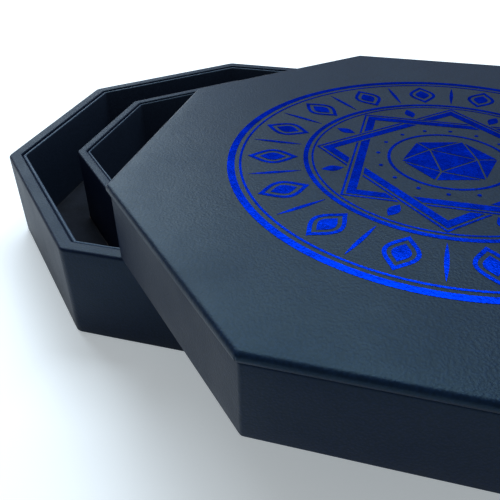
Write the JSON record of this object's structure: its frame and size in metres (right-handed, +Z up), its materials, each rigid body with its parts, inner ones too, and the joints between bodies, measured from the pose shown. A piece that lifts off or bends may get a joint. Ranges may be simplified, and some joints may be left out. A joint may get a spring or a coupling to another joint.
{
  "type": "dice tray with lid",
  "caption": "Octagonal leatherette dice tray with a ring channel for dice round a padded rolling floor, and a deep lid of the same outline that slides over the rim.",
  "frame": {"origin": "centre of the tray's underside, on the table", "axes": "+Z up through the middle of the tray, -Y towards the side to which the lid is slid open, +X to the right"},
  "size_m": [0.2721, 0.3749, 0.0833],
  "materials": {
    "leatherette": "fine-grained blue-black leatherette, satin",
    "covered_card": "card panels covered in smooth blue-black leatherette, satin",
    "floor_padding": "black brushed fabric over thin foam, matte",
    "base_felt": "black felt, matte",
    "fibreboard": "bare fibreboard, hidden",
    "magnet_steel": "plated magnet bars, hidden"
  },
  "bodies": {
    "tray": {"tray_bottom_cover": "base_felt", "tray_base_board": "fibreboard", "tray_wall_wrap": "leatherette", "tray_magnets": "magnet_steel", "divider_wrap": "leatherette", "channel_floor_pad": "floor_padding", "arena_floor_pad": "floor_padding", "tray_wall_right": "fibreboard", "tray_wall_back_right": "fibreboard", "tray_wall_back": "fibreboard", "tray_wall_back_left": "fibreboard", "tray_wall_left": "fibreboard", "tray_wall_front_left": "fibreboard", "tray_wall_front": "fibreboard", "tray_wall_front_right": "fibreboard", "channel_liner_right": "covered_card", "channel_liner_back_right": "covered_card", "channel_liner_back": "covered_card", "channel_liner_back_left": "covered_card", "channel_liner_left": "covered_card", "channel_liner_front_left": "covered_card", "channel_liner_front": "covered_card", "channel_liner_front_right": "covered_card", "divider_board_right": "fibreboard", "divider_board_back_right": "fibreboard", "divider_board_back": "fibreboard", "divider_board_back_left": "fibreboard", "divider_board_left": "fibreboard", "divider_board_front_left": "fibreboard", "divider_board_front": "fibreboard", "divider_board_front_right": "fibreboard", "arena_liner_right": "covered_card", "arena_liner_back_right": "covered_card", "arena_liner_back": "covered_card", "arena_liner_back_left": "covered_card", "arena_liner_left": "covered_card", "arena_liner_front_left": "covered_card", "arena_liner_front": "covered_card", "arena_liner_front_right": "covered_card"},
    "lid": {"lid_panel_board": "fibreboard", "lid_panel_wrap": "leatherette", "lid_skirt_wrap": "leatherette", "lid_magnets": "magnet_steel", "lid_ceiling_pad": "floor_padding", "lid_wall_right": "fibreboard", "lid_wall_back_right": "fibreboard", "lid_wall_back": "fibreboard", "lid_wall_back_left": "fibreboard", "lid_wall_left": "fibreboard", "lid_wall_front_left": "fibreboard", "lid_wall_front": "fibreboard", "lid_wall_front_right": "fibreboard", "lid_liner_right": "covered_card", "lid_liner_back_right": "covered_card", "lid_liner_back": "covered_card", "lid_liner_back_left": "covered_card", "lid_liner_left": "covered_card", "lid_liner_front_left": "covered_card", "lid_liner_front": "covered_card", "lid_liner_front_right": "covered_card"}
  },
  "joints": [
    {"name": "lid_slide", "type": "slide", "parent": "tray", "child": "lid", "axis": [-0.1653, 0.9862, 0], "range_m": [0, 0.12522]}
  ]
}
